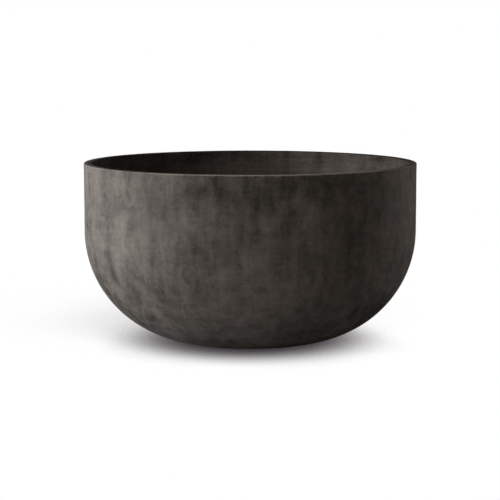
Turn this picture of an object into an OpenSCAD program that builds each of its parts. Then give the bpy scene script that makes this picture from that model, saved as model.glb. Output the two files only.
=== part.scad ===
// Bowl planter, cast in one piece in glass-fibre concrete.
// The casting stands on four rubber pads that sit in recesses of its foot. A plastic sleeve,
// cast into the base, lines the drain, and a rubber plug closes it from inside the bowl.
// Millimetres, +Z up. The origin is on the floor, under the centre of the bowl.

/* [Bowl] */
// Outside diameter at the rim
rim_d = 914; // [800:1:1200]
// Height of the casting, from the foot to the rim
bowl_h = 490; // [400:1:800]
// Diameter of the flat foot, where the belly begins
foot_d = 305; // [240:1:420]
// Thickness of the wall, at the rim and round the belly
wall_t = 22; // [16:1:36]
// Thickness of the base, from the foot to the inner floor
base_t = 28; // [26:1:45]
// Radius of the eased edges of the rim
rim_ease = 3; // [1:0.5:7]

/* [Drain sleeve] */
// Bore of the throat, which the plug closes
throat_d = 30; // [20:0.5:32]
// Bore of the socket, which takes a drain pipe from below
socket_d = 33.7; // [32:0.1:50]
// Depth of the socket, from the foot up to the throat
socket_depth = 14; // [8:0.5:15]
// Wall of the sleeve round the socket
sleeve_t = 3.2; // [2:0.1:5]
// Width of the flange round the top of the sleeve
flange_w = 10; // [6:0.5:20]
// Thickness of the flange
flange_t = 3; // [2:0.5:4]
// Width of the ring that anchors the sleeve in the concrete
anchor_w = 6; // [3:0.5:9]
// Thickness of the anchor ring
anchor_t = 4; // [2:0.5:6]

/* [Drain dish] */
// Width of the sloping floor round the flange
dish_w = 45; // [20:1:80]
// Fall of the sloping floor, down to the flange
dish_drop = 3; // [1:0.5:5]

/* [Drain plug] */
// How far the lip reaches past the throat, over the flange
lip_w = 8; // [4:0.5:12]
// Thickness of the lip, whose edge is a half round
lip_t = 4; // [3:0.5:6]
// Length of the stopper below the lip
stopper_l = 9; // [6.5:0.5:10]
// How much the stopper's radius narrows towards its tip
stopper_taper = 1.2; // [0.4:0.1:2.5]
// Bevel round the stopper's tip
tip_bevel = 1.5; // [0.5:0.1:2]
// Diameter of the rounded section of a sealing ring
seal_d = 1.8; // [1:0.1:2.4]
// Distance from the lip down to the upper sealing ring
seal_drop = 2.5; // [1.5:0.1:3]
// Distance between the two sealing rings
seal_pitch = 3; // [2.4:0.1:3.5]
// Diameter of the grip's head, whose edge is a half round
grip_d = 20; // [16:0.5:26]
// Thickness of the grip's head
grip_head_t = 6; // [4:0.5:8]
// Diameter of the grip's neck
neck_d = 11; // [8:0.5:14]
// Height of the grip above the lip
grip_h = 15; // [12:0.5:24]

/* [Floor pads] */
// Diameter of a pad
pad_d = 50; // [36:1:60]
// Thickness of a pad
pad_t = 7; // [5.5:0.5:12]
// How far a pad stands out of the foot
pad_proud = 4; // [2:0.5:5]
// Distance from the edge of the foot to the edge of a pad
pad_inset = 22; // [6:1:28]
// Bevel round the underside of a pad
pad_bevel = 1.5; // [0.5:0.1:2]

/* [Fits] */
// Gap round the sleeve, where the concrete has shrunk from it
cast_gap = 0.1; // [0.05:0.05:0.3]
// Clearance between the plug's sealing rings and the throat
plug_fit = 0.25; // [0.2:0.05:0.5]
// Clearance round a pad in its recess
pad_fit = 0.5; // [0.2:0.1:1]

/* [Hidden] */
$fn = 144;
over = 1;    // how far a cut runs past the face that it opens

// The casting: a flat foot, a quarter-round belly tangent to it, and an upright wall
foot_r = foot_d / 2;
rim_r = rim_d / 2;
belly_r = rim_r - foot_r;
edge_r = min(rim_ease, wall_t / 2 - 0.5);
foot_z = pad_proud;
floor_z = foot_z + base_t;
rim_z = foot_z + bowl_h;

// The drain, whose flange lies level with the lowest ring of the sloping floor
seat_z = floor_z - dish_drop;
throat_r = throat_d / 2;
socket_r = socket_d / 2;
sleeve_r = socket_r + sleeve_t;
flange_r = sleeve_r + flange_w;
anchor_r = sleeve_r + anchor_w;
anchor_z = (foot_z + seat_z - flange_t - anchor_t) / 2;

// The plug, from its seat on the flange
lip_r = throat_r + lip_w;
stopper_r = throat_r - plug_fit;
seal_r = seal_d / 2;
tip_r = stopper_r - stopper_taper;
grip_top = lip_t + grip_h;

// The pads, one towards each corner of the foot
pad_r = pad_d / 2;
pad_recess = pad_t - pad_proud;
pad_from_axis = foot_r - pad_inset - pad_r;
pad_angles = [-45, 45, 135, 225];    // front right, back right, back left, front left

// Half the section of a solid bowl: flat foot, quarter-round belly and upright wall
module bowl_section(belly, bottom, top) {
    translate([0, bottom]) square([foot_r, belly]);
    intersection() {
        translate([foot_r, bottom + belly]) circle(r = belly);
        translate([foot_r, bottom]) square(belly);
    }
    translate([0, bottom + belly]) square([foot_r + belly, top - bottom - belly]);
}

// The top of the wall, with both edges eased
module rim_section() {
    inner_r = rim_r - wall_t;
    band_z = rim_z - edge_r;
    translate([inner_r + edge_r, band_z - over]) square([wall_t - 2 * edge_r, edge_r + over]);
    for (r = [inner_r + edge_r, rim_r - edge_r]) translate([r, band_z]) circle(r = edge_r);
}

// Half the section of the sleeve with its bore filled, grown by a gap
module sleeve_section(gap) {
    translate([0, foot_z]) square([sleeve_r + gap, seat_z - foot_z]);
    translate([0, seat_z - flange_t - gap]) square([flange_r + gap, flange_t + gap]);
    translate([0, anchor_z - gap]) square([anchor_r + gap, anchor_t + 2 * gap]);
}

// What the sloping floor takes off the flat one
module dish_section() {
    dish_r = flange_r + dish_w;
    polygon([
        [0, seat_z], [flange_r + cast_gap, seat_z], [dish_r, floor_z],
        [dish_r, floor_z + over], [0, floor_z + over],
    ]);
}

// A half-round edge: the section of a disc, from the axis out to its rounded rim
module round_disc_section(disc_r, disc_t) {
    square([disc_r - disc_t / 2, disc_t]);
    translate([disc_r - disc_t / 2, disc_t / 2]) circle(d = disc_t);
}

module at_pad(angle) {
    rotate(angle) translate([pad_from_axis, 0, 0]) children();
}

module bowl_shell() {
    color("#544f4b")
    difference() {
        rotate_extrude() {
            difference() {
                bowl_section(belly_r, foot_z, rim_z - edge_r);
                bowl_section(belly_r - wall_t, floor_z, rim_z);
                sleeve_section(cast_gap);
                translate([0, foot_z - over]) square([sleeve_r + cast_gap, 2 * over]);
                dish_section();
            }
            rim_section();
        }
        for (angle = pad_angles) at_pad(angle)
            translate([0, 0, foot_z - over]) cylinder(r = pad_r + pad_fit, h = pad_recess + over);
    }
}

module drain_sleeve() {
    color("#8b8d8f")
    rotate_extrude() difference() {
        sleeve_section(0);
        translate([0, foot_z - over]) square([socket_r, socket_depth + over]);
        translate([0, foot_z]) square([throat_r, seat_z - foot_z + over]);
    }
}

module drain_plug() {
    color("#1f1f20")
    translate([0, 0, seat_z]) rotate_extrude() {
        polygon([
            [0, 0], [0, -stopper_l], [tip_r - tip_bevel, -stopper_l],
            [tip_r, tip_bevel - stopper_l], [stopper_r - seal_r / 2, 0],
        ]);
        for (drop = [seal_drop, seal_drop + seal_pitch])
            translate([stopper_r - seal_r, -drop]) circle(r = seal_r);
        round_disc_section(lip_r, lip_t);
        square([neck_d / 2, grip_top - grip_head_t / 2]);
        translate([0, grip_top - grip_head_t]) round_disc_section(grip_d / 2, grip_head_t);
    }
}

module floor_pad(angle) {
    color("#2a2a2a")
    at_pad(angle) {
        cylinder(r1 = pad_r - pad_bevel, r2 = pad_r, h = pad_bevel);
        translate([0, 0, pad_bevel]) cylinder(r = pad_r, h = pad_t - pad_bevel);
    }
}

bowl_shell();
drain_sleeve();
drain_plug();
floor_pad(pad_angles[0]);  // floor_pad_front_right
floor_pad(pad_angles[1]);  // floor_pad_back_right
floor_pad(pad_angles[2]);  // floor_pad_back_left
floor_pad(pad_angles[3]);  // floor_pad_front_left
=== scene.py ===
"""A dark charcoal concrete bowl planter, standing in a white studio.

Each piece is modelled here at the size of its solid, with the detail that the real one shows:
the uneven skin of the casting, the mouldings of the drain sleeve, the plug and the floor pads.
Sizes are metres, in the frame of the solids: +Z up, the floor at 0, the viewer on the -Y side.
"""

import math

import bpy
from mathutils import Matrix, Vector


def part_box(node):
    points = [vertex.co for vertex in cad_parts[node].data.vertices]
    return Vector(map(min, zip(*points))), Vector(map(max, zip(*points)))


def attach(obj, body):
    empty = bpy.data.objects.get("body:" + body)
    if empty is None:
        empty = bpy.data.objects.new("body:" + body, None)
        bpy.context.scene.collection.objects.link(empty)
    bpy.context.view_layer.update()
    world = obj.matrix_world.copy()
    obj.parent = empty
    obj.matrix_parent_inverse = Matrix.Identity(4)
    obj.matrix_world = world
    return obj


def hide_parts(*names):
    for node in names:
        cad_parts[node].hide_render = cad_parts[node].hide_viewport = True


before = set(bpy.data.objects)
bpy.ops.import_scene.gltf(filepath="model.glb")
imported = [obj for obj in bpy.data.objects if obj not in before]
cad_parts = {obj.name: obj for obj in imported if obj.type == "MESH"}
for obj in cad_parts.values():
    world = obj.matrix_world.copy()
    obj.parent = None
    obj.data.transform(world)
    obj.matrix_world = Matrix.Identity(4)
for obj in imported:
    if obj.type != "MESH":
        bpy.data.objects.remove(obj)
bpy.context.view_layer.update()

# ---- sizes that the solids give ----
shell_low, shell_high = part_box("bowl_shell")
_, sleeve_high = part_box("drain_sleeve")
plug_low, plug_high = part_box("drain_plug")
pad_low, pad_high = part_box("floor_pad_front_right")
RIM_R = shell_high.x
RIM_Z = shell_high.z
FOOT_Z = shell_low.z
FLANGE_R = sleeve_high.x
SEAT_Z = sleeve_high.z
PLUG_LIP_R = plug_high.x
PLUG_TOP_Z = plug_high.z
PLUG_TIP_Z = plug_low.z
PAD_R = (pad_high.x - pad_low.x) / 2
PAD_TOP_Z = pad_high.z
PAD_X = (pad_high.x + pad_low.x) / 2

# ---- sizes of the casting's section ----
FOOT_R = 0.1525
WALL_T = 0.022
BASE_T = 0.028
RIM_EASE = 0.003
DISH_W = 0.045
CAST_GAP = 0.0001
PAD_FIT = 0.0005
CASTING_STEPS = 384       # round a full turn
RECESS_STEPS = 100        # keeps the corners of the pad recesses off the casting's radial edges
FLOOR_Z = FOOT_Z + BASE_T
BELLY_R = RIM_R - FOOT_R
BELLY_Z = FOOT_Z + BELLY_R
SKIN_R = BELLY_R - WALL_T / 2    # the middle of the wall, from the centre of the belly's curve

# ---- the unevenness of its skins: how deep the waves are, and how far from one to the next ----
OUTER_DEPTH = 0.0009      # the mould's slow waves, on the outside
OUTER_WAVE = 0.22
INNER_DEPTH = 0.0022      # the trowel's, on the inside
INNER_WAVE = 0.09
RIM_DEPTH = 0.0005        # and the hand's, where the rim was rubbed down
RIM_WAVE = 0.05
WAVE_DETAIL = 2           # finer waves that ride on the slow ones
RIM_CLEAR = 0.03          # how far down from the rim the two skins come to their waves
DRAIN_CLEAR = 0.09        # the floor round the drain is left true to this radius
FOOT_CLEAR = 0.02         # and the foot to this height

# ---- sizes of the sleeve's section ----
FLANGE_T = 0.003
SLEEVE_R = 0.02005
ANCHOR_W = 0.006
ANCHOR_T = 0.004
THROAT_R = 0.015
SOCKET_R = 0.01685
SOCKET_DEPTH = 0.014
SLEEVE_STEPS = 128
MOULD_EDGE = 0.0006       # radius of a moulded edge
RING_R = 0.0268           # the ring pressed into the flange
RING_W = 0.0012
RING_DEPTH = 0.0004

# ---- sizes of the plug's section ----
LIP_T = 0.004
SEAL_R = 0.0009
SEAL_DROP = 0.0025        # from the lip down to the upper sealing ring
SEAL_PITCH = 0.003
STOPPER_R = 0.01475
STOPPER_TAPER = 0.0012
TIP_BEVEL = 0.0015
GRIP_R = 0.01
GRIP_HEAD_T = 0.006
NECK_R = 0.0055
NECK_FILLET = 0.001
THUMB_R = 0.006           # the hollow in the top of the grip
THUMB_DEPTH = 0.0007
THUMB_SECTION = ((1, 0), (0.8, 0.6), (0.5, 0.9))    # shares of both, from its edge inwards
FLUTES = 24               # the flutes round the grip
FLUTE_STEPS = 4
FLUTE_SHARE = 0.965       # how far in they are pressed

# ---- sizes of a pad's section ----
PAD_BEVEL = 0.0015
RIB_PITCH = 0.0045        # the rings moulded into the underside
RIB_W = 0.0024
RIB_DEPTH = 0.0007
RIBS = 4
PAD_STEPS = 96

QUARTER = math.pi / 2
JOIN = 0.00002    # points closer than this are one point
SEED_SIZE = 0.001    # of the plane that a section's first point is merged from


# ---- modelling ----
def deselect_all():
    bpy.ops.object.select_all(action="DESELECT")


class Section:
    """An outline in the XZ plane that grows from one point, then is spun round Z into a solid."""

    def __init__(self, name, x, z):
        deselect_all()
        bpy.ops.mesh.primitive_plane_add(size=SEED_SIZE, location=(0, 0, 0))
        self.piece = bpy.context.object
        self.piece.name = name
        bpy.ops.object.mode_set(mode="EDIT")
        bpy.ops.mesh.merge(type="CENTER")
        bpy.ops.transform.translate(value=(x, 0, z))
        self.x, self.z = x, z

    def line(self, x, z, steps=1):
        """A straight run to (x, z), in equal steps."""
        step = ((x - self.x) / steps, 0, (z - self.z) / steps)
        for _ in range(steps):
            bpy.ops.mesh.extrude_vertices_move(TRANSFORM_OT_translate={"value": step})
        self.x, self.z = x, z

    def arc(self, centre_x, centre_z, angle, steps):
        """A round run about a centre, anticlockwise as the viewer sees it where the angle is positive."""
        bpy.ops.mesh.spin(
            steps=steps, angle=angle, center=(centre_x, 0, centre_z), axis=(0, 1, 0))
        dx, dz = self.x - centre_x, self.z - centre_z
        self.x = centre_x + dx * math.cos(angle) - dz * math.sin(angle)
        self.z = centre_z + dx * math.sin(angle) + dz * math.cos(angle)

    def spin(self, steps):
        """Turns the outline once round Z and leaves a clean, outward-facing solid."""
        bpy.ops.mesh.select_all(action="SELECT")
        bpy.ops.mesh.remove_doubles(threshold=JOIN)
        bpy.ops.mesh.select_all(action="SELECT")
        bpy.ops.mesh.spin(steps=steps, angle=4 * QUARTER, center=(0, 0, 0), axis=(0, 0, 1))
        bpy.ops.mesh.select_all(action="SELECT")
        bpy.ops.mesh.remove_doubles(threshold=JOIN)
        bpy.ops.mesh.select_all(action="SELECT")
        bpy.ops.mesh.normals_make_consistent(inside=False)
        bpy.ops.object.mode_set(mode="OBJECT")
        return self.piece


def model_casting():
    """The shell: bored foot, quarter-round belly, upright wall with eased rim, and the same inside."""
    inner_r = RIM_R - WALL_T
    inner_belly_r = BELLY_R - WALL_T
    bore_r = SLEEVE_R + CAST_GAP
    recess_r = FLANGE_R + CAST_GAP
    recess_z = SEAT_Z - FLANGE_T - CAST_GAP
    anchor_r = SLEEVE_R + ANCHOR_W + CAST_GAP
    anchor_z = (FOOT_Z + SEAT_Z - FLANGE_T - ANCHOR_T) / 2 - CAST_GAP
    anchor_top = anchor_z + ANCHOR_T + 2 * CAST_GAP
    out = Section("bowl_casting", bore_r, FOOT_Z)
    out.line(FOOT_R, FOOT_Z, steps=12)
    out.arc(FOOT_R, BELLY_Z, QUARTER, steps=60)
    out.line(RIM_R, RIM_Z - RIM_EASE, steps=24)
    out.arc(RIM_R - RIM_EASE, RIM_Z - RIM_EASE, QUARTER, steps=5)
    out.line(inner_r + RIM_EASE, RIM_Z, steps=3)
    out.arc(inner_r + RIM_EASE, RIM_Z - RIM_EASE, QUARTER, steps=5)
    out.line(inner_r, FLOOR_Z + inner_belly_r, steps=24)
    out.arc(FOOT_R, FLOOR_Z + inner_belly_r, -QUARTER, steps=56)
    out.line(FLANGE_R + DISH_W, FLOOR_Z, steps=8)
    out.line(recess_r, SEAT_Z, steps=6)
    out.line(recess_r, recess_z)
    out.line(bore_r, recess_z)
    out.line(bore_r, anchor_top)
    out.line(anchor_r, anchor_top)
    out.line(anchor_r, anchor_z)
    out.line(bore_r, anchor_z)
    out.line(bore_r, FOOT_Z)
    return out.spin(CASTING_STEPS)


def from_skin(point):
    """How far a point is outside the middle of the casting's wall; inside it is below zero."""
    out = max(math.hypot(point.x, point.y) - FOOT_R, 0)
    down = min(point.z - BELLY_Z, 0)
    return math.hypot(out, down) - SKIN_R


def ease(value, start, length):
    """0 up to start, then rising to 1 over that length."""
    return min(max((value - start) / length, 0), 1)


def outer_share(point):
    """1 on the outside of the wall, easing to 0 at the foot and at the rim."""
    if from_skin(point) < 0:
        return 0
    return ease(point.z, FOOT_CLEAR, FOOT_CLEAR) * ease(RIM_Z - point.z, 0, RIM_CLEAR)


def inner_share(point):
    """1 on the inside of the wall and floor, easing to 0 at the drain and at the rim."""
    if from_skin(point) > 0:
        return 0
    from_axis = math.hypot(point.x, point.y)
    return ease(from_axis, DRAIN_CLEAR, DRAIN_CLEAR) * ease(RIM_Z - point.z, 0, RIM_CLEAR)


def rim_share(point):
    """1 along the top of the rim, easing to 0 down the wall."""
    return 1 - ease(RIM_Z - point.z, 0, RIM_CLEAR)


def press_waves(piece, name, share, depth, wave):
    """Presses slow hollows into one skin of the casting. They only ever go inwards."""
    group = piece.vertex_groups.new(name=name)
    for corner in piece.data.vertices:
        part = share(corner.co)
        if part > 0:
            group.add([corner.index], part, "REPLACE")
    clouds = bpy.data.textures.new(name, "CLOUDS")
    clouds.noise_scale = wave
    clouds.noise_depth = WAVE_DETAIL
    waves = piece.modifiers.new(name, "DISPLACE")
    waves.texture = clouds
    waves.texture_coords = "LOCAL"
    waves.vertex_group = name
    waves.mid_level = 1.0    # the level that stays where it is: none lies above it
    waves.strength = depth
    bpy.ops.object.modifier_apply(modifier=name)


def cut_pad_recesses(casting):
    """Cuts the four round recesses of the pads into the foot."""
    deselect_all()
    depth = PAD_TOP_Z - FOOT_Z
    cutters = []
    for _, x, y in PADS:
        bpy.ops.mesh.primitive_cylinder_add(
            vertices=RECESS_STEPS, radius=PAD_R + PAD_FIT, depth=2 * depth, location=(x, y, FOOT_Z))
        cutters.append(bpy.context.object)
    for cutter in cutters:
        cutter.select_set(True)
    bpy.ops.object.join()
    cutter = bpy.context.object
    bpy.context.view_layer.objects.active = casting
    cut = casting.modifiers.new("pad_recesses", "BOOLEAN")
    cut.operation = "DIFFERENCE"
    cut.object = cutter
    bpy.ops.object.modifier_apply(modifier=cut.name)
    bpy.data.objects.remove(cutter)


def model_sleeve():
    """The drain sleeve: socket, throat, anchor ring, and a flange with a ring pressed into it."""
    anchor_z = (FOOT_Z + SEAT_Z - FLANGE_T - ANCHOR_T) / 2
    step_z = FOOT_Z + SOCKET_DEPTH
    edge = MOULD_EDGE
    out = Section("drain_sleeve_moulding", SOCKET_R + edge, FOOT_Z)
    out.line(SLEEVE_R, FOOT_Z)
    out.line(SLEEVE_R, anchor_z, steps=2)
    out.line(SLEEVE_R + ANCHOR_W, anchor_z)
    out.line(SLEEVE_R + ANCHOR_W, anchor_z + ANCHOR_T)
    out.line(SLEEVE_R, anchor_z + ANCHOR_T)
    out.line(SLEEVE_R, SEAT_Z - FLANGE_T, steps=2)
    out.line(FLANGE_R, SEAT_Z - FLANGE_T)
    out.line(FLANGE_R, SEAT_Z - edge)
    out.arc(FLANGE_R - edge, SEAT_Z - edge, QUARTER, steps=4)
    out.line(RING_R + RING_W / 2, SEAT_Z)
    out.line(RING_R + RING_W / 4, SEAT_Z - RING_DEPTH)
    out.line(RING_R - RING_W / 4, SEAT_Z - RING_DEPTH)
    out.line(RING_R - RING_W / 2, SEAT_Z)
    out.line(THROAT_R + edge, SEAT_Z, steps=3)
    out.arc(THROAT_R + edge, SEAT_Z - edge, QUARTER, steps=4)
    out.line(THROAT_R, step_z + edge, steps=2)
    out.line(THROAT_R + edge, step_z)
    out.line(SOCKET_R, step_z)
    out.line(SOCKET_R, FOOT_Z + edge, steps=3)
    out.line(SOCKET_R + edge, FOOT_Z)
    return out.spin(SLEEVE_STEPS)


def model_plug():
    """The plug: tapered stopper with two sealing rings, round-edged lip, and a fluted grip."""
    lip_round = LIP_T / 2
    head_round = GRIP_HEAD_T / 2
    tip_r = STOPPER_R - STOPPER_TAPER
    seal_x = STOPPER_R - SEAL_R
    lip_top = SEAT_Z + LIP_T
    head_z = PLUG_TOP_Z - head_round
    fillet = NECK_FILLET
    out = Section("drain_plug_moulding", 0, PLUG_TIP_Z)
    out.line(tip_r - TIP_BEVEL, PLUG_TIP_Z, steps=3)
    out.line(tip_r, PLUG_TIP_Z + TIP_BEVEL, steps=2)
    for drop in (SEAL_DROP + SEAL_PITCH, SEAL_DROP):
        out.line(seal_x, SEAT_Z - drop - SEAL_R)
        out.arc(seal_x, SEAT_Z - drop, 2 * QUARTER, steps=10)
    out.line(STOPPER_R - SEAL_R / 2, SEAT_Z, steps=2)
    out.line(PLUG_LIP_R - lip_round, SEAT_Z, steps=3)
    out.arc(PLUG_LIP_R - lip_round, SEAT_Z + lip_round, 2 * QUARTER, steps=12)
    out.line(NECK_R + fillet, lip_top, steps=6)
    out.arc(NECK_R + fillet, lip_top + fillet, -QUARTER, steps=4)
    out.line(NECK_R, head_z - head_round - fillet, steps=2)
    out.arc(NECK_R + fillet, head_z - head_round - fillet, -QUARTER, steps=4)
    out.line(GRIP_R - head_round, head_z - head_round)
    out.arc(GRIP_R - head_round, head_z, 2 * QUARTER, steps=14)
    for across, down in THUMB_SECTION:
        out.line(THUMB_R * across, PLUG_TOP_Z - THUMB_DEPTH * down)
    out.line(0, PLUG_TOP_Z - THUMB_DEPTH, steps=2)
    plug = out.spin(FLUTES * FLUTE_STEPS)
    press_flutes(plug)
    return plug


def press_flutes(plug):
    """Presses an upright flute into every other strip of the grip's edge."""
    turn = 4 * QUARTER / (FLUTES * FLUTE_STEPS)
    edge_r = GRIP_R - GRIP_HEAD_T / 2
    neck_top = PLUG_TOP_Z - GRIP_HEAD_T
    bpy.ops.object.mode_set(mode="EDIT")
    bpy.ops.mesh.select_all(action="DESELECT")
    bpy.ops.object.mode_set(mode="OBJECT")
    for corner in plug.data.vertices:
        x, y, z = corner.co
        strip = round(math.atan2(y, x) / turn) % FLUTE_STEPS
        corner.select = strip < FLUTE_STEPS / 2 and z > neck_top and math.hypot(x, y) > edge_r + MOULD_EDGE
    bpy.ops.object.mode_set(mode="EDIT")
    bpy.ops.transform.resize(value=(FLUTE_SHARE, FLUTE_SHARE, 1), center_override=(0, 0, 0))
    bpy.ops.object.mode_set(mode="OBJECT")


PADS = (
    ("floor_pad_front_right", PAD_X, -PAD_X),
    ("floor_pad_back_right", PAD_X, PAD_X),
    ("floor_pad_back_left", -PAD_X, PAD_X),
    ("floor_pad_front_left", -PAD_X, -PAD_X),
)


def model_pad():
    """One floor pad at the origin: a disc with rings moulded into its bevelled underside."""
    out = Section("floor_pad_moulding", 0, 0)
    for ring in range(RIBS):
        start = RIB_PITCH * (ring + 1) - RIB_W
        out.line(start, 0)
        out.line(start + RIB_W / 4, RIB_DEPTH)
        out.line(start + RIB_W * 3 / 4, RIB_DEPTH)
        out.line(start + RIB_W, 0)
    out.line(PAD_R - PAD_BEVEL, 0)
    out.line(PAD_R, PAD_BEVEL, steps=2)
    out.line(PAD_R, PAD_TOP_Z - MOULD_EDGE, steps=2)
    out.line(PAD_R - MOULD_EDGE, PAD_TOP_Z)
    out.line(0, PAD_TOP_Z, steps=3)
    return out.spin(PAD_STEPS)


def lay_pads(pad, finish):
    """Sets a copy of the pad at each corner of the foot."""
    for node, x, y in PADS:
        deselect_all()
        pad.select_set(True)
        bpy.context.view_layer.objects.active = pad
        bpy.ops.object.duplicate()
        laid = bpy.context.object
        laid.name = node + "_moulding"
        laid.location = (x, y, 0)
        bpy.ops.object.transform_apply(location=True, rotation=False, scale=False)
        finish.paint(laid)
        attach(laid, "bowl")
        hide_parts(node)
    bpy.data.objects.remove(pad)


# ---- studio ----
AIM = (-0.0006, 0, 0.2485)    # what the camera and the lamps face
VIEW_DISTANCE = 4.57
VIEW_ELEVATION = 7.37         # degrees
LENS_MM = 118.6
SENSOR_MM = 36

WHITE = (1, 1, 1)
COOL_WHITE = (0.98, 0.99, 1)
WARM_WHITE = (1, 0.92, 0.86)
LAMP_GLOW = (1, 0.81, 0.65)
# name, azimuth from the viewer towards +X, elevation, distance, width, height, watts, colour
LAMPS = (
    ("key_left", -94, 6, 3.2, 1.5, 1.2, 120, COOL_WHITE),
    ("key_front_left", -47, 8, 3.2, 1.2, 1.2, 26, WHITE),
    ("left_high", -75, 25, 3.2, 1.2, 1.2, 20, LAMP_GLOW),
    ("overhead_left", -90, 65, 3.0, 0.8, 0.8, 18, WARM_WHITE),
    ("front_high", -15, 30, 3.6, 1.2, 1.2, 7, LAMP_GLOW),
    ("front_right", 25, 0, 3.6, 1.2, 1.0, 6, LAMP_GLOW),
    ("edge_right", 118, 3, 3.2, 1.4, 1.0, 32, WARM_WHITE),
    ("back_fill", 180, 12, 3.6, 2.0, 1.5, 45, WHITE),
)
MATT_LAMPS = ("back_fill",)    # lamps that give no gloss, so that none lies along the rim

FLOOR_R = 14
FLOOR_STEPS = 96
FLOOR_BOUNCE = 0.43       # how pale the floor is for the light that it throws back up
FLOOR_SHOWN = 2.15        # how bright it looks under an open sky, where 1 is already white
FLOOR_IN_GLOSS = 0.15     # how much of its brightness a gloss shows
UPWARDS = (0, 0, 1)
SHADOW_DEEPEN = 1.26      # how much the shadow deepens towards the middle
SHADOW_LEVEL = 0.033      # how bright the floor still looks at its darkest
SHADOW_TINT = (1, 0.95, 0.99, 1)
HAZE_LEAN = (0.37, -0.89, 0.26)    # towards the side that the wide, pale haze gets its light from
HAZE_SHOWN = 1.32         # as FLOOR_SHOWN, for the haze alone
HAZE_DEEPEN = 0.9         # as SHADOW_DEEPEN; below 1 it spreads instead
SKY_REACH = 3.0           # how far away a thing may be and still shade the floor
SKY_SAMPLES = 8

WORLD_FILL = 0.02         # the light that the air of the studio gives
BACKDROP_SHOWN = 0.12     # how bright the backdrop behind the bowl looks in a gloss
ROOM_SHOWN = 0.03         # and the room on the viewer's side
BACKDROP_EDGE = 0.45      # how far round to the back the room begins to turn into the backdrop


def around_bowl(azimuth, elevation, distance):
    """A point at that distance from the aim, at the middle of the bowl, and the direction back to it."""
    a, e = math.radians(azimuth), math.radians(elevation)
    away = Vector((math.sin(a) * math.cos(e), -math.cos(a) * math.cos(e), math.sin(e)))
    return Vector(AIM) + away * distance, -away


def place(thing, position, direction):
    thing.location = position
    thing.rotation_euler = direction.to_track_quat("-Z", "Y").to_euler()
    bpy.context.scene.collection.objects.link(thing)


def set_camera():
    camera = bpy.data.objects.new("camera", bpy.data.cameras.new("camera"))
    camera.data.lens = LENS_MM
    camera.data.sensor_width = SENSOR_MM
    place(camera, *around_bowl(0, VIEW_ELEVATION, VIEW_DISTANCE))
    bpy.context.scene.camera = camera


def set_lamps():
    for name, azimuth, elevation, distance, width, height, watts, colour in LAMPS:
        light = bpy.data.lights.new(name, "AREA")
        light.shape = "RECTANGLE"
        light.size, light.size_y = width, height
        light.energy = watts
        light.color = colour
        lamp = bpy.data.objects.new(name, light)
        lamp.visible_glossy = name not in MATT_LAMPS
        place(lamp, *around_bowl(azimuth, elevation, distance))


# ---- finishes ----
MIX_LOW, MIX_HIGH = 6, 7    # the colour inputs of a Mix node
MIX_RESULT = 2              # and its colour output
NOISE_MIDDLE = 0.5          # the mean level of a noise


def grey(level):
    return (level, level, level, 1)


class NodeBench:
    """A node tree, with short ways to add the nodes that the finishes and the world are made of."""

    def __init__(self, owner):
        owner.use_nodes = True
        self.tree = owner.node_tree

    def node(self, kind, **settings):
        made = self.tree.nodes.new(kind)
        for name, value in settings.items():
            setattr(made, name, value)
        return made

    def feed(self, socket, value):
        """Links the socket where the value is another node's output, and sets it otherwise."""
        if isinstance(value, bpy.types.NodeSocket):
            self.tree.links.new(value, socket)
        else:
            socket.default_value = value

    def calc(self, operation, *values):
        made = self.node("ShaderNodeMath", operation=operation)
        for socket, value in zip(made.inputs, values):
            self.feed(socket, value)
        return made.outputs[0]

    def add(self, *values):
        total = values[0]
        for value in values[1:]:
            total = self.calc("ADD", total, value)
        return total

    def times(self, *values):
        product = values[0]
        for value in values[1:]:
            product = self.calc("MULTIPLY", product, value)
        return product

    def length(self, a, b):
        """How long a step is that goes a one way and b across it."""
        return self.calc("POWER", self.add(self.times(a, a), self.times(b, b)), 0.5)

    def ramp(self, value, low, high, at_low=0.0, at_high=1.0):
        """Eases from one level to the other while the value goes from low to high."""
        made = self.node("ShaderNodeMapRange", interpolation_type="SMOOTHSTEP")
        for socket, number in zip(made.inputs, (value, low, high, at_low, at_high)):
            self.feed(socket, number)
        return made.outputs[0]

    def blend(self, factor, low, high):
        made = self.node("ShaderNodeMix", data_type="RGBA")
        self.feed(made.inputs["Factor"], factor)
        self.feed(made.inputs[MIX_LOW], low)
        self.feed(made.inputs[MIX_HIGH], high)
        return made.outputs[MIX_RESULT]

    def rays(self, *kinds):
        """1 for the rays of these kinds, 0 for all others."""
        path = self.node("ShaderNodeLightPath")
        found = path.outputs[kinds[0]]
        for kind in kinds[1:]:
            found = self.calc("MAXIMUM", found, path.outputs[kind])
        return found


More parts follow.
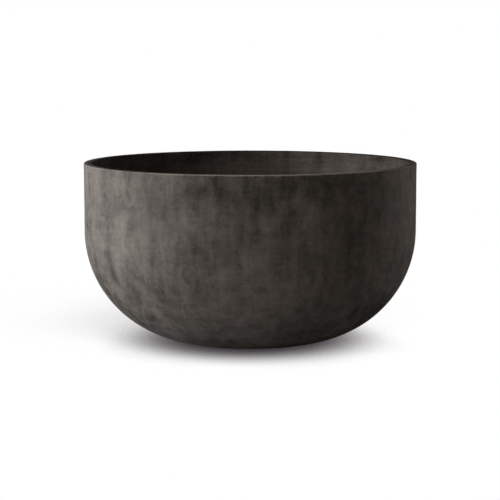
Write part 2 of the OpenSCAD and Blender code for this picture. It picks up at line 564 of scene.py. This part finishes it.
class Finish(NodeBench):
    """A material: one Principled shader and the patterns that drive it, in metres on the piece."""

    def __init__(self, name, **sockets):
        self.material = bpy.data.materials.new(name)
        super().__init__(self.material)
        self.shader = self.tree.nodes["Principled BSDF"]
        self.place = self.node("ShaderNodeTexCoord").outputs["Object"]
        self.set(**sockets)

    def set(self, **sockets):
        for socket, value in sockets.items():
            self.feed(self.shader.inputs[socket.replace("_", " ")], value)

    def stretched(self, per_metre):
        made = self.node("ShaderNodeMapping")
        self.feed(made.inputs["Vector"], self.place)
        self.feed(made.inputs["Scale"], per_metre)
        return made.outputs[0]

    def noise(self, per_metre, detail=3.0, roughness=0.55, bend=0.0):
        """A cloudy pattern from about -0.5 to 0.5; per_metre is one number, or one for each axis."""
        made = self.node("ShaderNodeTexNoise")
        if isinstance(per_metre, tuple):
            self.feed(made.inputs["Vector"], self.stretched(per_metre))
            self.feed(made.inputs["Scale"], 1.0)
        else:
            self.feed(made.inputs["Vector"], self.place)
            self.feed(made.inputs["Scale"], per_metre)
        self.feed(made.inputs["Detail"], detail)
        self.feed(made.inputs["Roughness"], roughness)
        self.feed(made.inputs["Distortion"], bend)
        return self.calc("SUBTRACT", made.outputs["Fac"], NOISE_MIDDLE)

    def spots(self, per_metre, reach, some):
        """Round spots, 1 at their middles, in the cells of a grid where the random share is under some."""
        made = self.node("ShaderNodeTexVoronoi", feature="F1")
        self.feed(made.inputs["Vector"], self.place)
        self.feed(made.inputs["Scale"], per_metre)
        shape = self.ramp(made.outputs["Distance"], 0.0, reach, 1.0, 0.0)
        colour = self.node("ShaderNodeSeparateColor")
        self.feed(colour.inputs[0], made.outputs["Color"])
        return self.times(shape, self.calc("LESS_THAN", colour.outputs[0], some))

    def gather(self, patterns, shares):
        """The sum of the patterns that the shares name, each times its share."""
        return self.add(*(self.times(patterns[name], share) for name, share in shares.items()))

    def emboss(self, height, depth):
        """Raises the surface by height, where 1 is depth metres."""
        made = self.node("ShaderNodeBump")
        self.feed(made.inputs["Height"], height)
        self.feed(made.inputs["Distance"], depth)
        self.feed(made.inputs["Strength"], 1.0)
        self.set(Normal=made.outputs[0])

    def paint(self, piece):
        piece.data.materials.clear()
        piece.data.materials.append(self.material)


# ---- concrete ----
DARK_CONCRETE = (0.028, 0.0245, 0.0205, 1)
PALE_CONCRETE = (0.173, 0.159, 0.149, 1)
# the pale of the rim's worn edge and of the painted highlight along its front
WORN_AND_HIGHLIT_CONCRETE = (0.42, 0.395, 0.37, 1)
CONCRETE_SPECULAR = 0.06
CONCRETE_ROUGHNESS = 0.78
CONCRETE_TONE = 0.54      # the mean, where 0 is dark and 1 is pale
CONCRETE_RELIEF = 0.0006
CALM_INSIDE = 0.5         # how much of the weather's marks the inside shows
TURN_HALF = 0.006         # half the depth in the wall over which outside turns into inside

# name: how many to the metre (one number, or one for each axis), detail, roughness, bend
CONCRETE_NOISES = {
    "clouds": (4.2, 3.0, 0.5, 0.3),
    "patches": ((13.0, 13.0, 9.0), 3.0, 0.5, 0.6),
    "blotches": ((34.0, 34.0, 23.0), 3.0, 0.5, 0.5),
    "run_places": (3.4, 2.0, 0.55, 0.0),
    "runs": ((48.0, 48.0, 5.0), 3.0, 0.6, 0.0),
    "streaks": ((85.0, 85.0, 11.0), 2.0, 0.5, 0.0),
    "drapes": ((25.0, 25.0, 1.7), 3.0, 0.5, 0.2),
    "trowel_marks": ((9.0, 9.0, 62.0), 3.0, 0.55, 0.6),
    "brushing": ((230.0, 230.0, 165.0), 2.0, 0.6, 0.0),
    "mottles": (105.0, 4.0, 0.65, 0.3),
    "sand": (620.0, 2.0, 0.6, 0.0),
    "stains": ((17.0, 17.0, 6.5), 4.0, 0.6, 0.6),
    "chalk": ((21.0, 21.0, 12.0), 5.0, 0.65, 0.4),
    "fleck_places": (8.0, 3.0, 0.55, 0.0),
    "flecks": ((130.0, 130.0, 175.0), 3.0, 0.6, 1.6),
    "bands": ((7.0, 7.0, 95.0), 3.0, 0.6, 0.0),
    "rubbing": (14.0, 3.0, 0.55, 0.0),
}
# the levels of a noise between which it goes from none to all
CONCRETE_RAMPS = {
    "run_places": (-0.08, 0.12),
    "stains": (0.09, 0.22),
    "chalk": (0.12, 0.24),
    "fleck_places": (-0.02, 0.14),
    "flecks": (0.08, 0.24),
}
PITS = (150.0, 0.28, 0.10)    # cells to the metre, reach in a cell, share of the cells

# how much each pattern brings the tone up or down; the first lot are marks of the weather
WEATHER_SHARES = {"patches": 0.8, "drapes": 0.42, "blotches": 0.85, "runs": 0.6, "streaks": 0.15}
TONE_SHARES = {
    "clouds": 0.52, "weather": 1.0, "brushing": 0.36, "mottles": 0.5, "trowel_marks": 0.4, "sand": 0.5,
    # the pits are darker by painted shade inside them
    "stains": -0.09, "chalk": 0.12, "broad_patches": 1.0, "flecks": 0.2, "bands": 0.45, "pits": -0.25,
    # the inside along the rim and the wall over the foot are darker by painted shade
    # the rim's top is darker at the back by painted shade
    "rim_painted_shade": -0.55, "inner_shade": 0.27, "painted_foot_shade": -0.4,
}
ROUGHNESS_SHARES = {"patches": 0.3, "mottles": 0.25, "rim_wear_and_highlight": -0.06}
RELIEF_SHARES = {"mottles": 0.5, "sand": 0.3, "runs": 0.5, "bands": 0.8, "pits": -1.2}

# broad, soft darker and paler patches on the viewer's side: across, height, half width, half height, share
BROAD_PATCHES = (
    (0.02, 0.43, 0.16, 0.13, -0.24),
    (-0.03, 0.2, 0.14, 0.18, 0.27),
    (-0.34, 0.14, 0.12, 0.14, -0.26),
    (0.35, 0.09, 0.13, 0.11, -0.5),
)
PATCH_CORE = 0.1          # the share of a patch's width where it is full
PATCH_EDGE = -0.1         # where they are full along the view; they begin at the middle

# The painted shade on the rim's top, and the wear and painted highlight of its outer edge. A pair of
# depths is below its top, and a pair of places lies along the view, from the middle of the bowl: first
# where the mark begins, then where it is full.
RIM_SHADE_DEPTHS = (0.0022, 0.001)
RIM_SHADE_PLACES = (0.2, 0.6)
RIM_SHADE_TO_RIGHT = 0.5       # how much further round from the back it comes on the right
RIM_SHADE_WOBBLE = 0.2         # how much the patches move its ends
WEAR_AND_HIGHLIGHT_DEPTHS = (0.003, 0.0014)
HIGHLIGHT_PLACES = (-0.24, -0.46)
HIGHLIGHT_TO_RIGHT = -0.18     # below zero, because it comes round from the front
HIGHLIGHT_WOBBLE = 0.16
WEAR_AND_HIGHLIGHT_RAGGED = 0.004       # how much the mottles move its lower edge
WEAR_AND_HIGHLIGHT_SHARE = 0.56
RUBBING = (-0.1, 0.15, 0.15, 0.5)    # the noise's levels, and the wear of the outer edge at each
WORN_EDGE = 0.004         # how wide the worn edge is, and at the front the top that the painted highlight covers
HIGHLIT_TOP = 0.02
WEAR_AND_HIGHLIGHT_FADE = (-0.002, 0.001)    # how it fades in past its inner edge
SHADE_DEPTHS = (0.065, 0.002)
SHADE_LEVELS = (0.2, -1.0)    # a little paler below, and darker along the rim by painted shade
FOOT_SHADE_HEIGHTS = (0.001, 0.009)    # over the foot, where a contact shadow is painted


class Concrete(Finish):
    """Cast concrete, rubbed down by hand: clouds, run marks, mottles, pits, and a trowelled inside."""

    def __init__(self, name):
        super().__init__(name, Specular_IOR_Level=CONCRETE_SPECULAR)
        axes = self.node("ShaderNodeSeparateXYZ")
        self.feed(axes.inputs[0], self.place)
        self.across, self.along, self.height = axes.outputs
        self.radius = self.length(self.across, self.along)
        self.inside = self.find_inside()
        self.patterns = {}
        self.lay_noises()
        self.lay_marks()

        tone = self.add(CONCRETE_TONE, self.gather(self.patterns, TONE_SHARES))
        skin = self.blend(tone, DARK_CONCRETE, PALE_CONCRETE)
        # the rim's worn edge, paler still at the front by a painted highlight
        wear_and_highlight = self.times(self.patterns["rim_wear_and_highlight"], WEAR_AND_HIGHLIGHT_SHARE)
        self.set(Base_Color=self.blend(wear_and_highlight, skin, WORN_AND_HIGHLIT_CONCRETE))
        self.set(Roughness=self.add(
            CONCRETE_ROUGHNESS, self.gather(self.patterns, ROUGHNESS_SHARES)))
        self.emboss(self.gather(self.patterns, RELIEF_SHARES), CONCRETE_RELIEF)

    def find_inside(self):
        """1 on the inside of the shell, 0 on the outside, easing over the top of the rim."""
        out = self.calc("MAXIMUM", self.calc("SUBTRACT", self.radius, FOOT_R), 0.0)
        down = self.calc("MINIMUM", self.calc("SUBTRACT", self.height, BELLY_Z), 0.0)
        return self.ramp(self.length(out, down), SKIN_R - TURN_HALF, SKIN_R + TURN_HALF, 1.0, 0.0)

    def lay_noises(self):
        patterns = self.patterns
        for name, numbers in CONCRETE_NOISES.items():
            patterns[name] = self.noise(*numbers)
            if name in CONCRETE_RAMPS:
                patterns[name] = self.ramp(patterns[name], *CONCRETE_RAMPS[name])
        patterns["runs"] = self.times(patterns["runs"], patterns["run_places"])
        patterns["flecks"] = self.times(patterns["fleck_places"], patterns["flecks"])
        patterns["bands"] = self.times(patterns["bands"], self.inside)
        patterns["pits"] = self.spots(*PITS)

    def lay_marks(self):
        """The marks, the painted shade and the painted highlight that have their places on the casting."""
        # water has run down the outside; the inside is calmer
        calm = self.ramp(self.inside, 0.0, 1.0, 1.0, CALM_INSIDE)
        self.patterns["weather"] = self.times(self.gather(self.patterns, WEATHER_SHARES), calm)
        self.patterns["broad_patches"] = self.broad_patches()
        self.patterns["rim_painted_shade"] = self.rim_painted_shade()
        self.patterns["rim_wear_and_highlight"] = self.rim_wear_and_highlight()

        # painted shade: the inside is darker along the rim, and the wall darker just over the foot, a
        # painted contact shadow
        self.patterns["inner_shade"] = self.times(
            self.below_rim(self.height, SHADE_DEPTHS, *SHADE_LEVELS), self.inside)
        foot_shade_low, foot_shade_high = FOOT_SHADE_HEIGHTS
        self.patterns["painted_foot_shade"] = self.ramp(
            self.height, FOOT_Z + foot_shade_low, FOOT_Z + foot_shade_high, 1.0, 0.0)

    def below_rim(self, height, depths, *levels):
        begins, full = depths
        return self.ramp(height, RIM_Z - begins, RIM_Z - full, *levels)

    def along_view(self, places, to_right, wobble):
        """From none to all between two places along the view, leaning to the right, with ragged ends."""
        place = self.add(
            self.along,
            self.times(self.across, to_right),
            self.times(self.patterns["patches"], wobble))
        return self.ramp(place, *places)

    def broad_patches(self):
        """The broad darker and paler patches, with ragged edges, on the outside of the viewer's side
        alone.
        """
        stains = []
        for x, z, half_width, half_height, share in BROAD_PATCHES:
            off_x = self.times(self.calc("SUBTRACT", self.across, x), 1 / half_width)
            off_z = self.times(self.calc("SUBTRACT", self.height, z), 1 / half_height)
            off = self.add(self.length(off_x, off_z), self.patterns["patches"])
            stains.append(self.times(self.ramp(off, PATCH_CORE, 1.0, 1.0, 0.0), share))
        facing = self.ramp(self.along, 0.0, PATCH_EDGE)
        outside = self.calc("SUBTRACT", 1.0, self.inside)
        return self.times(self.add(*stains), facing, outside)

    def rim_painted_shade(self):
        """Painted shade: the top of the rim is darker at the back, and more so at the right."""
        # painted shade, fullest at the back and more so towards the right
        back = self.along_view(RIM_SHADE_PLACES, RIM_SHADE_TO_RIGHT, RIM_SHADE_WOBBLE)
        return self.times(back, self.below_rim(self.height, RIM_SHADE_DEPTHS))

    def rim_wear_and_highlight(self):
        """The rim's outer edge is rubbed pale all round, and a painted highlight pales it most at the
        front, where the pale goes over the top.
        """
        # painted highlight, fullest at the front and more so towards the right
        front = self.along_view(HIGHLIGHT_PLACES, HIGHLIGHT_TO_RIGHT, HIGHLIGHT_WOBBLE)
        begins = self.ramp(front, 0.0, 1.0, RIM_R - WORN_EDGE, RIM_R - HIGHLIT_TOP)
        past_edge = self.ramp(self.calc("SUBTRACT", self.radius, begins), *WEAR_AND_HIGHLIGHT_FADE)
        ragged = self.add(self.height, self.times(self.patterns["mottles"], WEAR_AND_HIGHLIGHT_RAGGED))
        rubbed = self.ramp(self.patterns["rubbing"], *RUBBING)
        return self.times(
            self.below_rim(ragged, WEAR_AND_HIGHLIGHT_DEPTHS), past_edge, self.calc("MAXIMUM", front, rubbed))


# ---- rubber and plastic ----
PLUG_BLACK = (0.012, 0.012, 0.0125, 1)
PLUG_BLOOM = (0.045, 0.044, 0.043, 1)
PAD_BLACK = (0.018, 0.0178, 0.0175, 1)
PAD_DUST = (0.085, 0.08, 0.074, 1)
RUBBER_SPECULAR = 0.35
RUBBER_ROUGHNESS = 0.6
RUBBER_RELIEF = 0.00008

SLEEVE_GREY = (0.19, 0.2, 0.21, 1)
SLEEVE_PALE = (0.26, 0.27, 0.28, 1)
SCRATCH_GREY = grey(0.42)
SLEEVE_SPECULAR = 0.45
SLEEVE_ROUGHNESS = 0.42
SLEEVE_RELIEF = 0.0001
SLEEVE_TONE = 0.5         # the mean, where 0 is grey and 1 is pale
SCRATCH_SHARE = 0.4
CEMENT_SHARE = 0.55


def rubber_finish(name, colour, dust):
    """Moulded rubber: a fine matt grain, a greyish bloom in patches, and scuffs."""
    finish = Finish(name, Specular_IOR_Level=RUBBER_SPECULAR)
    patterns = {
        "grain": finish.noise(1500.0, detail=2.0, roughness=0.6),
        "bloom": finish.ramp(finish.noise(90.0, detail=4.0, roughness=0.6), -0.05, 0.2),
        "scuffs": finish.ramp(finish.noise((900.0, 120.0, 300.0), roughness=0.7), 0.12, 0.2),
    }
    pale = finish.gather(patterns, {"bloom": 0.5, "scuffs": 0.35, "grain": 0.4})
    finish.set(Base_Color=finish.blend(pale, colour, dust))
    finish.set(Roughness=finish.add(
        RUBBER_ROUGHNESS, finish.gather(patterns, {"bloom": 0.15, "grain": 0.3})))
    finish.emboss(finish.gather(patterns, {"grain": 0.5, "scuffs": 0.3}), RUBBER_RELIEF)
    return finish


def sleeve_finish():
    """Grey moulded plastic: a fine grain, hairline scratches, and cement left on it by the casting."""
    finish = Finish("sleeve_plastic", Specular_IOR_Level=SLEEVE_SPECULAR)
    patterns = {
        "grain": finish.noise(1800.0, detail=2.0, roughness=0.5),
        "flow": finish.noise((60.0, 60.0, 20.0), roughness=0.5, bend=0.8),
        "scratches": finish.ramp(
            finish.noise((1400.0, 90.0, 200.0), roughness=0.7, bend=0.3), 0.13, 0.19),
        "cement": finish.ramp(finish.noise(160.0, detail=5.0, roughness=0.65), 0.08, 0.2),
    }
    tone = finish.add(SLEEVE_TONE, finish.gather(patterns, {"flow": 0.8, "grain": 0.5}))
    plain = finish.blend(tone, SLEEVE_GREY, SLEEVE_PALE)
    scratched = finish.blend(
        finish.times(patterns["scratches"], SCRATCH_SHARE), plain, SCRATCH_GREY)
    finish.set(Base_Color=finish.blend(
        finish.times(patterns["cement"], CEMENT_SHARE), scratched, PALE_CONCRETE))
    finish.set(Roughness=finish.add(SLEEVE_ROUGHNESS, finish.gather(
        patterns, {"cement": 0.35, "scratches": 0.15, "grain": 0.2})))
    finish.emboss(finish.gather(
        patterns, {"cement": 0.6, "grain": 0.2, "scratches": -0.3}), SLEEVE_RELIEF)
    return finish


# ---- floor and air ----
def open_sky(finish, lean, shown, deepen):
    """How bright a point looks by the share of the sky that it sees, counted about one direction."""
    sky = finish.node("ShaderNodeAmbientOcclusion", samples=SKY_SAMPLES)
    finish.feed(sky.inputs["Distance"], SKY_REACH)
    towards = finish.node("ShaderNodeCombineXYZ")
    for socket, part in zip(towards.inputs, lean):
        finish.feed(socket, part)
    finish.feed(sky.inputs["Normal"], towards.outputs[0])
    level = finish.calc("MINIMUM", finish.times(sky.outputs["AO"], shown), 1.0)
    return finish.calc("POWER", level, deepen)


def lay_floor():
    """A pale floor: an eye sees it white, but for the soft shadow of what stands on it.

    The shadow is the share of the sky above that the bowl hides, and a wide haze behind the bowl
    is the share that it hides towards the front. A gloss shows the floor too, but dimmer, and
    from below the floor is clear.
    """
    deselect_all()
    bpy.ops.mesh.primitive_circle_add(
        vertices=FLOOR_STEPS, radius=FLOOR_R, fill_type="NGON", location=(0, 0, 0))
    floor = bpy.context.object
    floor.name = "studio_floor"
    finish = Finish("studio_floor", Roughness=1.0, Specular_IOR_Level=0.0)
    seen = finish.rays("Is Camera Ray", "Is Transmission Ray", "Is Glossy Ray")
    finish.set(Base_Color=finish.blend(seen, grey(FLOOR_BOUNCE), grey(0)))

    open_share = finish.times(
        open_sky(finish, UPWARDS, FLOOR_SHOWN, SHADOW_DEEPEN),
        open_sky(finish, HAZE_LEAN, HAZE_SHOWN, HAZE_DEEPEN))
    finish.set(Emission_Color=finish.blend(open_share, SHADOW_TINT, grey(1)))
    shown = finish.calc("MULTIPLY_ADD", open_share, 1 - SHADOW_LEVEL, SHADOW_LEVEL)
    clear = finish.rays("Is Camera Ray", "Is Transmission Ray")
    dimmed = finish.ramp(clear, 0.0, 1.0, FLOOR_IN_GLOSS, 1.0)
    finish.set(Emission_Strength=finish.times(shown, seen, dimmed))

    under = finish.node("ShaderNodeNewGeometry").outputs["Backfacing"]
    finish.set(Alpha=finish.calc("SUBTRACT", 1.0, under))
    finish.paint(floor)


def set_world():
    """White to the eye, a dim backdrop and a dimmer room in reflections, and little light of its own."""
    world = bpy.data.worlds.new("studio")
    bpy.context.scene.world = world
    bench = NodeBench(world)
    axes = bench.node("ShaderNodeSeparateXYZ")
    bench.feed(axes.inputs[0], bench.node("ShaderNodeTexCoord").outputs["Generated"])
    mirrored = bench.ramp(axes.outputs["Y"], BACKDROP_EDGE, 1.0, ROOM_SHOWN, BACKDROP_SHOWN)
    air = bench.blend(
        bench.rays("Is Glossy Ray", "Is Transmission Ray"), grey(WORLD_FILL), mirrored)
    bench.feed(
        bench.tree.nodes["Background"].inputs["Color"],
        bench.blend(bench.rays("Is Camera Ray"), air, grey(1)))


set_camera()
set_lamps()
set_world()
lay_floor()
bpy.context.scene.view_settings.view_transform = "Standard"

SMOOTH_ANGLE = math.radians(35)

casting = model_casting()
cut_pad_recesses(casting)
press_waves(casting, "outer_waves", outer_share, OUTER_DEPTH, OUTER_WAVE)
press_waves(casting, "inner_waves", inner_share, INNER_DEPTH, INNER_WAVE)
press_waves(casting, "rim_waves", rim_share, RIM_DEPTH, RIM_WAVE)
bpy.ops.object.shade_smooth_by_angle(angle=SMOOTH_ANGLE)
Concrete("charcoal_concrete").paint(casting)
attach(casting, "bowl")
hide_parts("bowl_shell")

sleeve = model_sleeve()
bpy.ops.object.shade_smooth_by_angle(angle=SMOOTH_ANGLE)
sleeve_finish().paint(sleeve)
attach(sleeve, "bowl")
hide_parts("drain_sleeve")

plug = model_plug()
bpy.ops.object.shade_smooth_by_angle(angle=SMOOTH_ANGLE)
rubber_finish("plug_rubber", PLUG_BLACK, PLUG_BLOOM).paint(plug)
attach(plug, "plug")
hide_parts("drain_plug")

pad = model_pad()
bpy.ops.object.shade_smooth_by_angle(angle=SMOOTH_ANGLE)
lay_pads(pad, rubber_finish("pad_rubber", PAD_BLACK, PAD_DUST))
